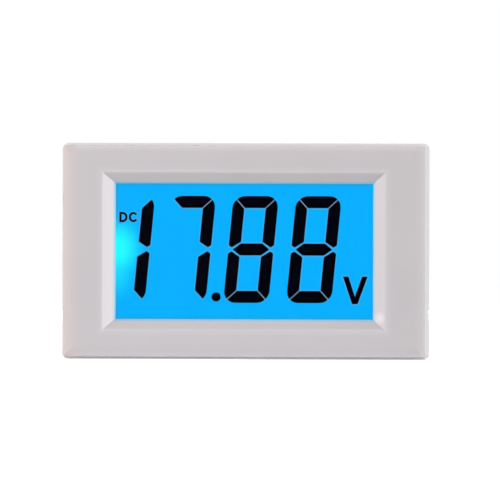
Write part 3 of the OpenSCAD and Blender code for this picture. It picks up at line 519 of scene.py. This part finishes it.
def glowAt(nodes, links, middle, reach, core, strength):
    # light that fades out from the side lamp
    shape = nodes.new("ShaderNodeMapping")
    shape.vector_type = "TEXTURE"
    shape.inputs["Location"].default_value = middle
    shape.inputs["Scale"].default_value = reach
    links.new(objectPoint(nodes), shape.inputs["Vector"])
    flat = nodes.new("ShaderNodeVectorMath")
    flat.operation = "MULTIPLY"
    flat.inputs[1].default_value = (1, 0, 1)
    links.new(shape.outputs[0], flat.inputs[0])
    length = nodes.new("ShaderNodeVectorMath")
    length.operation = "LENGTH"
    links.new(flat.outputs[0], length.inputs[0])
    near = nodes.new("ShaderNodeMapRange")
    near.interpolation_type = "SMOOTHSTEP"
    near.inputs["From Min"].default_value = core
    near.inputs["From Max"].default_value = 1.0
    near.inputs["To Min"].default_value = strength
    near.inputs["To Max"].default_value = 0.0
    links.new(length.outputs["Value"], near.inputs["Value"])
    return near.outputs["Result"]


def litField(name, look):
    mat, nodes, links, shader = startMaterial(name)
    glow = nodes.new("ShaderNodeMath")
    glow.operation = "MAXIMUM"
    for slot, one in enumerate(look["glows"]):
        links.new(glowAt(nodes, links, *one), glow.inputs[slot])
    even = tintBetween(nodes, links, noiseAt(nodes, links, 120, 1.0), look["deep"], look["blue"])
    edge = stepped(nodes, links, pastRect(nodes, links, *windowHalf), look["rimStops"])
    edged = blended(nodes, links, edge, even, look["rim"])
    lit = blended(nodes, links, glow.outputs[0], edged, look["cyan"])
    links.new(lit, shader.inputs["Emission Color"])
    shader.inputs["Emission Strength"].default_value = look["strength"]
    shader.inputs["Base Color"].default_value = unlit
    shader.inputs["Specular IOR Level"].default_value = 0.0
    shader.inputs["Roughness"].default_value = 0.8
    return mat


paneLook = {"bend": 1.05, "roughness": 0.12, "tint": (1.0, 1.0, 1.0, 1)}  # coated, so it hardly reflects


def clearPane(name, look):
    mat, nodes, links, shader = startMaterial(name)
    nodes.remove(shader)
    clear = nodes.new("ShaderNodeBsdfTransparent")
    clear.inputs["Color"].default_value = look["tint"]
    sheen = nodes.new("ShaderNodeBsdfGlossy")
    smear = noiseAt(nodes, links, 160, 3.0)
    rough = spread(nodes, links, smear, look["roughness"], look["roughness"] + 0.1)
    links.new(rough, sheen.inputs["Roughness"])
    mix = nodes.new("ShaderNodeMixShader")
    slant = nodes.new("ShaderNodeFresnel")
    slant.inputs["IOR"].default_value = look["bend"]
    links.new(slant.outputs[0], mix.inputs["Fac"])
    links.new(clear.outputs[0], mix.inputs[1])
    links.new(sheen.outputs[0], mix.inputs[2])
    links.new(mix.outputs[0], nodes["Material Output"].inputs["Surface"])
    return mat


fringeLook = {"colour": (0.034, 0.42, 0.88), "dull": (0.028, 0.40, 0.85)}
gapLook = {"colour": (0.24, 0.44, 0.62), "dull": (0.20, 0.40, 0.60)}


def paleLine(name, look):
    mat, nodes, links, shader = startMaterial(name)
    stir = noiseAt(nodes, links, 700, 1.0)
    colour = tintBetween(nodes, links, stir, look["dull"], look["colour"])
    links.new(colour, shader.inputs["Emission Color"])
    shader.inputs["Emission Strength"].default_value = 1.0
    shader.inputs["Base Color"].default_value = unlit
    shader.inputs["Specular IOR Level"].default_value = 0.0
    return mat


inkLook = {"colour": (0.0006, 0.0006, 0.003), "roughness": 0.7}


def darkCrystal(name, look):
    mat, nodes, links, shader = startMaterial(name)
    stir = noiseAt(nodes, links, 900, 2.0)
    colour = tintBetween(nodes, links, stir, look["colour"], scaled(look["colour"], 1.6))
    links.new(colour, shader.inputs["Base Color"])
    shader.inputs["Roughness"].default_value = look["roughness"]
    shader.inputs["Specular IOR Level"].default_value = 0.0
    return mat


finishes = {
    "housing": mouldedPlastic("greyHousing", faceLook),
    "cover": mouldedPlastic("greyCover", coverLook),
    "whiteFrame": mouldedPlastic("whiteFrame", frameLook),
    "whitePrint": mouldedPlastic("whitePrint", printInkLook),
    "rubber": mouldedPlastic("contactRubber", rubberLook),
    "package": mouldedPlastic("chipPackage", packageLook),
    "orange": mouldedPlastic("dippedOrange", orangeLook),
    "trimmer": mouldedPlastic("blueTrimmer", trimmerLook),
    "rotor": mouldedPlastic("creamRotor", rotorLook),
    "zinc": platedMetal("zincPlate", zincLook),
    "screwRight": threadedMetal("threadedZincRight", screwLook),
    "screwLeft": threadedMetal("threadedZincLeft", {**screwLook, "axis": (-5.55 * mm, -10.85 * mm)}),
    "brass": platedMetal("rolledBrass", brassLook),
    "solder": platedMetal("softSolder", solderLook),
    "can": platedMetal("drawnCan", canLook),
    "board": solderMask("greenBoard", boardLook),
    "trace": solderMask("coveredCopper", traceLook),
    "field": litField("litField", fieldLook),
    "pane": clearPane("clearPane", paneLook),
    "ink": darkCrystal("darkCrystal", inkLook),
    "fringe": paleLine("strokeFringe", fringeLook),
    "gap_line": paleLine("strokeGap", gapLook),
}

nodeFinish = {
    "front_housing": "housing", "rear_cover": "cover",
    "front_polariser": "pane", "front_glass": "pane", "display_seal": "whiteFrame", "display_digits": "ink",
    "rear_glass": "field", "rear_polariser": "pane", "diffuser_film": "field", "light_guide": "field",
    "reflector_film": "whiteFrame", "backlight_lamp": "whiteFrame", "display_frame": "whiteFrame",
    "upper_contact_strip": "rubber", "lower_contact_strip": "rubber",
    "main_board": "board", "board_screws": "zinc", "converter_chip": "package", "converter_leads": "solder",
    "quartz_crystal": "can", "film_capacitors": "orange", "electrolytic_capacitor": "can",
    "chip_resistors": "package", "protection_diode": "package", "voltage_regulator": "package",
    "trimmer_body": "trimmer", "trimmer_rotor": "rotor", "solder_joints": "solder",
    "positive_plate": "brass", "negative_plate": "brass", "positive_washer": "zinc",
    "negative_washer": "zinc", "positive_screw": "screwRight", "negative_screw": "screwLeft",
}


def dressNodes():
    for name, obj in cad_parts.items():
        obj.data.materials.clear()
        obj.data.materials.append(finishes[nodeFinish[name]])


dressNodes()
print("materials assigned")


# small marks on the display

markLook = {
    "front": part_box("display_digits")[0][1],
    "back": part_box("display_digits")[1][1],
    "unitPlace": (21.67 * mm, -7.55 * mm),
    "unitSize": (4.85 * mm, 5.4 * mm),
    "unitLean": -0.08 * mm,
    "unitStroke": 1.09 * mm,
    "unitCrotch": 1.35,  # height of the inner corner, in strokes
    "kindPlace": (-24.62 * mm, 5.65 * mm),
    "kindHeight": 2.0 * mm,
    "kindStroke": 0.42 * mm,
    "kindWidths": (1.6 * mm, 1.75 * mm),
    "kindGap": 0.27 * mm,
    "kindMouth": 36,  # degrees from level to each end of the C
    "kindBulge": 1.05,
    "neighbour": 0.25 * mm,  # strokes nearer than this face each other
    "lines": [  # name, growth, growth towards a neighbour, depth
        ("gap_line", 0.02 * mm, 0.085 * mm, 0.03 * mm),
        ("fringe", 0.26 * mm, 0.26 * mm, 0.015 * mm),
    ],
}


def flatPiece(name, outlines, front, back, finish, body):
    bm = bmesh.new()
    for outline in outlines:
        near = [bm.verts.new((x, front, z)) for x, z in outline]
        far = [bm.verts.new((x, back, z)) for x, z in outline]
        bm.faces.new(near)
        bm.faces.new(list(reversed(far)))
        count = len(near)
        for i in range(count):
            j = (i + 1) % count
            bm.faces.new((near[j], near[i], far[i], far[j]))
    bmesh.ops.triangulate(bm, faces=[f for f in bm.faces if len(f.verts) > 4])
    bmesh.ops.recalc_face_normals(bm, faces=bm.faces)
    mesh = bpy.data.meshes.new(name)
    bm.to_mesh(mesh)
    bm.free()
    mesh.materials.append(finish)
    piece = bpy.data.objects.new(name, mesh)
    scene.collection.objects.link(piece)
    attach(piece, body)
    return piece


def band(path, width):
    # a stroke of even width, as a chain of four-sided pieces
    left, right = [], []
    for i, (x, z) in enumerate(path):
        x0, z0 = path[max(i - 1, 0)]
        x1, z1 = path[min(i + 1, len(path) - 1)]
        run = math.hypot(x1 - x0, z1 - z0)
        nx, nz = -(z1 - z0) / run * width / 2, (x1 - x0) / run * width / 2
        left.append((x + nx, z + nz))
        right.append((x - nx, z - nz))
    return [[left[i], left[i + 1], right[i + 1], right[i]] for i in range(len(path) - 1)]


def unitMark():
    x, z = markLook["unitPlace"]
    w, h = markLook["unitSize"]
    s = markLook["unitStroke"]
    foot = x + markLook["unitLean"]
    crotch = (foot, z - h / 2 + markLook["unitCrotch"] * s)
    parts = []
    for side in (-1, 1):
        edge = x + side * w / 2
        parts.append([(edge, z + h / 2), (edge - side * s, z + h / 2), crotch, (foot, z - h / 2),
                      (foot + side * s / 2, z - h / 2)])
    return parts


def kindMarks():
    x, z = markLook["kindPlace"]
    h, s = markLook["kindHeight"], markLook["kindStroke"]
    wide, broad = markLook["kindWidths"]
    r = (h - s) / 2
    turn = x + wide - s / 2 - r  # where the bow of the D begins
    angles = [math.pi * k / 12 for k in range(13)]
    bow = [(turn + r * math.sin(a), z + h / 2 + r * math.cos(a)) for a in angles]
    letterD = band([(x, z + h - s / 2)] + bow + [(x, z + s / 2)], s)
    letterD.append([(x, z), (x + s, z), (x + s, z + h), (x, z + h)])
    mid = x + wide + markLook["kindGap"] + broad / 2
    rx = (broad - s) / 2 * markLook["kindBulge"]
    mouth = markLook["kindMouth"]
    angles = [math.radians(mouth + k * (360 - 2 * mouth) / 18) for k in range(19)]
    letterC = band([(mid + rx * math.cos(a), z + h / 2 + r * math.sin(a)) for a in angles], s)
    return letterD + letterC


def growCopy(source, name, grow, facing, front, back, finish):
    # a copy of flat strokes with each side moved out, by another amount where it faces a neighbour
    bm = bmesh.new()
    bm.from_mesh(source.data)
    bmesh.ops.remove_doubles(bm, verts=bm.verts, dist=0.001 * mm)
    bm.normal_update()
    low = min(v.co.y for v in bm.verts)
    high = max(v.co.y for v in bm.verts)
    tree = BVHTree.FromBMesh(bm)
    moves = {}
    for v in bm.verts:
        sides = []
        for face in v.link_faces:
            n = face.normal
            if abs(n.y) < 0.5 and all((n - m).length > 0.02 for m, _ in sides):
                start = face.calc_center_median() + n * 0.01 * mm
                hit = tree.ray_cast(start, n, markLook["neighbour"])[0]
                sides.append((n.copy(), facing if hit else grow))
        if len(sides) > 1:
            (n, a), (m, b) = sides[0], sides[-1]
            c = n.dot(m)
            rest = max(1 - c * c, 0.3)
            moves[v] = n * ((a - b * c) / rest) + m * ((b - a * c) / rest)
        else:
            moves[v] = sides[0][0] * sides[0][1] if sides else Vector()
    for v, move in moves.items():
        v.co += move
        v.co.y = front if v.co.y < (low + high) / 2 else back
    mesh = bpy.data.meshes.new(name)
    bm.to_mesh(mesh)
    bm.free()
    mesh.materials.append(finish)
    piece = bpy.data.objects.new(name, mesh)
    scene.collection.objects.link(piece)
    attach(piece, "meter")
    return piece


def inkMark(name, outlines):
    look = markLook
    return flatPiece(name, outlines, look["front"], look["back"], finishes["ink"], "meter")


unit = inkMark("unit_mark", unitMark())
kind = inkMark("kind_mark", kindMarks())
for source, name in ((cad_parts["display_digits"], "digit"), (unit, "unit"), (kind, "kind")):
    for part, grow, facing, depth in markLook["lines"]:
        level = markLook["back"] - depth
        growCopy(source, name + "_" + part, grow, facing, level, level + 0.005 * mm, finishes[part])
print("display marks made")


# polarity signs in the rear cover's pads

signLook = {
    "places": {"positive": 5.55 * mm, "negative": -5.55 * mm},
    "height": -2.25 * mm,
    "length": 1.9 * mm,
    "stroke": 0.48 * mm,
    "floor": 19.68 * mm,
    "top": 19.95 * mm,
    "lower": 0.01 * mm,  # so that crossed bars share no face
    "edge": 0.06 * mm,
}


def solidBlocks(name, blocks, finish, edge=0.0, body="meter"):
    # blocks are (x0, x1, y0, y1, z0, z1)
    bm = bmesh.new()
    for x0, x1, y0, y1, z0, z1 in blocks:
        cube = bmesh.ops.create_cube(bm, size=1)["verts"]
        for v in cube:
            v.co = Vector(((x0 + x1) / 2 + v.co.x * (x1 - x0), (y0 + y1) / 2 + v.co.y * (y1 - y0),
                           (z0 + z1) / 2 + v.co.z * (z1 - z0)))
    if edge:
        bmesh.ops.bevel(bm, geom=list(bm.edges), offset=edge, segments=2, affect="EDGES", profile=0.6)
    mesh = bpy.data.meshes.new(name)
    bm.to_mesh(mesh)
    bm.free()
    mesh.materials.append(finish)
    piece = bpy.data.objects.new(name, mesh)
    scene.collection.objects.link(piece)
    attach(piece, body)
    return piece


def raiseSigns():
    look = signLook
    arm, half, z = look["length"] / 2, look["stroke"] / 2, look["height"]
    for name, x in look["places"].items():
        bars = [(x - arm, x + arm, look["floor"], look["top"], z - half, z + half)]
        if name == "positive":
            bars.append((x - half, x + half, look["floor"], look["top"] - look["lower"], z - arm, z + arm))
        solidBlocks(name + "_sign", bars, finishes["cover"], look["edge"])


raiseSigns()
print("polarity signs raised")


# what is printed and soldered on the board

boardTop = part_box("main_board")[1][1]
copperLook = {
    "lift": 0.012 * mm,
    "width": 0.3,
    "leads": (-8.0, 0.8, 0.1),  # the converter's lower leads: first one, pitch, height
    "lanes": [  # step along the leads, first of them, the resistors they go to
        (1, 0, (-16.2, -13.8, -11.4, -9.0)),
        (-1, 10, (18.1, 15.7, 13.3, 10.9, 8.5)),
    ],
    "corner": 0.3,
    "laneTop": -0.45,
    "laneStep": 0.36,
    "padTop": -2.3,
    "runs": [  # width, then the corners across and up, in millimetres
        (0.3, (2.2, 9.7), (3.6, 9.7), (6.5, 12.6), (7.4, 12.6)),
        (0.3, (2.2, 8.9), (4.2, 8.9), (5.6, 10.3), (11.0, 10.3), (11.9, 11.2), (11.9, 12.6)),
        (0.3, (2.2, 8.1), (5.6, 8.1), (6.1, 7.6), (7.0, 7.6)),
        (0.3, (2.2, 4.9), (6.5, 4.9), (7.0, 5.4)),
        (0.3, (2.2, 4.1), (8.1, 4.1), (9.4, 5.4)),
        (0.3, (2.2, 3.3), (9.7, 3.3), (11.8, 5.4)),
        (0.3, (9.4, 7.6), (10.2, 8.4), (11.0, 8.4), (11.8, 7.6), (13.0, 7.6), (14.4, 9.0), (17.6, 9.0)),
        (0.4, (-10.3, 9.7), (-11.2, 9.7), (-12.6, 11.1), (-12.6, 12.2)),
        (0.4, (-10.3, 8.1), (-12.4, 8.1)),
        (0.4, (-10.3, 5.7), (-11.3, 5.7), (-12.6, 4.4)),
        (0.8, (-17.8, 12.2), (-19.0, 12.2), (-20.0, 11.2), (-20.0, 5.4), (-19.0, 4.4), (-17.8, 4.4)),
        (0.8, (-17.8, 8.3), (-23.0, 8.3)),
        (1.0, (-24.0, -3.0), (-24.0, 7.0)),
        (0.8, (-22.9, -9.4), (-22.9, -11.0), (-20.9, -13.0), (-7.0, -13.0), (-5.55, -11.5), (-5.55, -7.0)),
        (0.8, (-25.1, -9.4), (-25.1, -12.4), (-23.2, -14.3), (4.0, -14.3), (5.55, -12.7), (5.55, -7.0)),
        (0.8, (-5.55, -6.75), (-8.1, -6.75), (-9.0, -5.8), (-9.0, -4.5)),
        (0.8, (16.4, -8.0), (9.0, -8.0), (7.75, -6.75), (5.55, -6.75)),
        (0.4, (8.5, -4.5), (8.5, -5.6), (7.35, -6.75)),
        (0.5, (19.6, -8.0), (25.0, -8.0), (27.0, -6.0), (27.0, 1.8), (24.4, 4.4), (21.5, 4.4)),
        (0.3, (10.9, -4.6), (11.5, -5.2), (12.7, -5.2), (13.3, -4.6)),
        (0.3, (15.7, -4.6), (16.3, -5.2), (17.5, -5.2), (18.1, -4.6)),
        (0.3, (-11.4, -4.6), (-12.0, -5.2), (-13.2, -5.2), (-13.8, -4.6)),
        (0.3, (-16.2, -4.6), (-18.4, -6.8), (-21.0, -6.8)),
    ],
}
printLook = {"line": 0.16 * mm, "lift": 0.02 * mm, "margin": 0.35 * mm}
padLook = {
    "lift": 0.035 * mm, "margin": 0.1 * mm, "edge": 0.012 * mm,
    "footLength": 0.75 * mm,
    "resistorReach": 0.25 * mm,  # from the resistor's end to the pad's middle
    "resistorHalf": 0.4 * mm,
}
capLook = {"length": 0.38 * mm, "proud": 0.03 * mm, "edge": 0.03 * mm}


def islandBoxes(obj):
    # the box of each loose part of a mesh
    bm = bmesh.new()
    bm.from_mesh(obj.data)
    bmesh.ops.remove_doubles(bm, verts=bm.verts, dist=0.001 * mm)
    left, boxes = set(bm.verts), []
    while left:
        group, edge = set(), [left.pop()]
        while edge:
            v = edge.pop()
            group.add(v)
            for e in v.link_edges:
                o = e.other_vert(v)
                if o in left:
                    left.discard(o)
                    edge.append(o)
        boxes.append([(min(v.co[k] for v in group), max(v.co[k] for v in group)) for k in range(3)])
    bm.free()
    return boxes


def outlineBars(x0, x1, z0, z1):
    # four thin bars printed round a part
    w, y0, y1 = printLook["line"], boardTop - 0.01 * mm, boardTop + printLook["lift"]
    m = printLook["margin"]
    x0, x1, z0, z1 = x0 - m, x1 + m, z0 - m, z1 + m
    return [(x0, x1, y0, y1, z0, z0 + w), (x0, x1, y0, y1, z1 - w, z1),
            (x0, x0 + w, y0, y1, z0 + w, z1 - w), (x1 - w, x1, y0, y1, z0 + w, z1 - w)]


def layCopper():
    look = copperLook
    first, pitch, high = look["leads"]
    runs = list(look["runs"])
    for step, start, targets in look["lanes"]:
        for k, x in enumerate(targets):
            lead = first + pitch * (start + step * k)
            lane = look["laneTop"] - look["laneStep"] * k
            corner = look["corner"]
            turn = corner if x > lead else -corner
            runs.append((look["width"], (lead, high), (lead, lane + corner), (lead + turn, lane),
                         (x - turn, lane), (x, lane - corner), (x, look["padTop"])))
    outlines = []
    for width, *corners in runs:
        outlines += band([(x * mm, z * mm) for x, z in corners], width * mm)
    front, back = boardTop - 0.005 * mm, boardTop + look["lift"]
    flatPiece("board_traces", outlines, front, back, finishes["trace"], "meter")


def printBoard():
    bars = []
    for node in ("quartz_crystal", "electrolytic_capacitor", "trimmer_body", "protection_diode"):
        (x0, _, z0), (x1, _, z1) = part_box(node)
        bars += outlineBars(x0, x1, z0, z1)
    for (x0, x1), _, (z0, z1) in islandBoxes(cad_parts["film_capacitors"]):
        bars += outlineBars(x0, x1, z0, z1)
    solidBlocks("board_print", bars, finishes["whitePrint"])


def tinPads():
    pads = []
    (cx0, _, cz0), (cx1, _, cz1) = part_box("converter_chip")
    cx, cz = (cx0 + cx1) / 2, (cz0 + cz1) / 2
    m, foot = padLook["margin"], padLook["footLength"]
    y0, y1 = boardTop - 0.01 * mm, boardTop + padLook["lift"]
    for (x0, x1), _, (z0, z1) in islandBoxes(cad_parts["converter_leads"]):
        dx, dz = (x0 + x1) / 2 - cx, (z0 + z1) / 2 - cz
        if abs(dx) > abs(dz):
            x0, x1 = (x1 - foot, x1 + m) if dx > 0 else (x0 - m, x0 + foot)
            pads.append((x0, x1, y0, y1, z0 - m / 2, z1 + m / 2))
        else:
            z0, z1 = (z1 - foot, z1 + m) if dz > 0 else (z0 - m, z0 + foot)
            pads.append((x0 - m / 2, x1 + m / 2, y0, y1, z0, z1))
    half = padLook["resistorHalf"]
    for (x0, x1), _, (z0, z1) in islandBoxes(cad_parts["chip_resistors"]):
        for end, side in ((z0, -1), (z1, 1)):
            z = end + side * padLook["resistorReach"]
            pads.append((x0 - m, x1 + m, y0, y1, z - half, z + half))
    solidBlocks("board_pads", pads, finishes["solder"], padLook["edge"])


def capResistors():
    caps = []
    p, n = capLook["proud"], capLook["length"]
    for (x0, x1), (y0, y1), (z0, z1) in islandBoxes(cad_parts["chip_resistors"]):
        for a, b in ((z0 - p, z0 + n), (z1 - n, z1 + p)):
            caps.append((x0 - p, x1 + p, y0 + 0.02 * mm, y1 + p, a, b))
    solidBlocks("resistor_caps", caps, finishes["solder"], capLook["edge"])


layCopper()
printBoard()
tinPads()
capResistors()
print("board printed and padded")
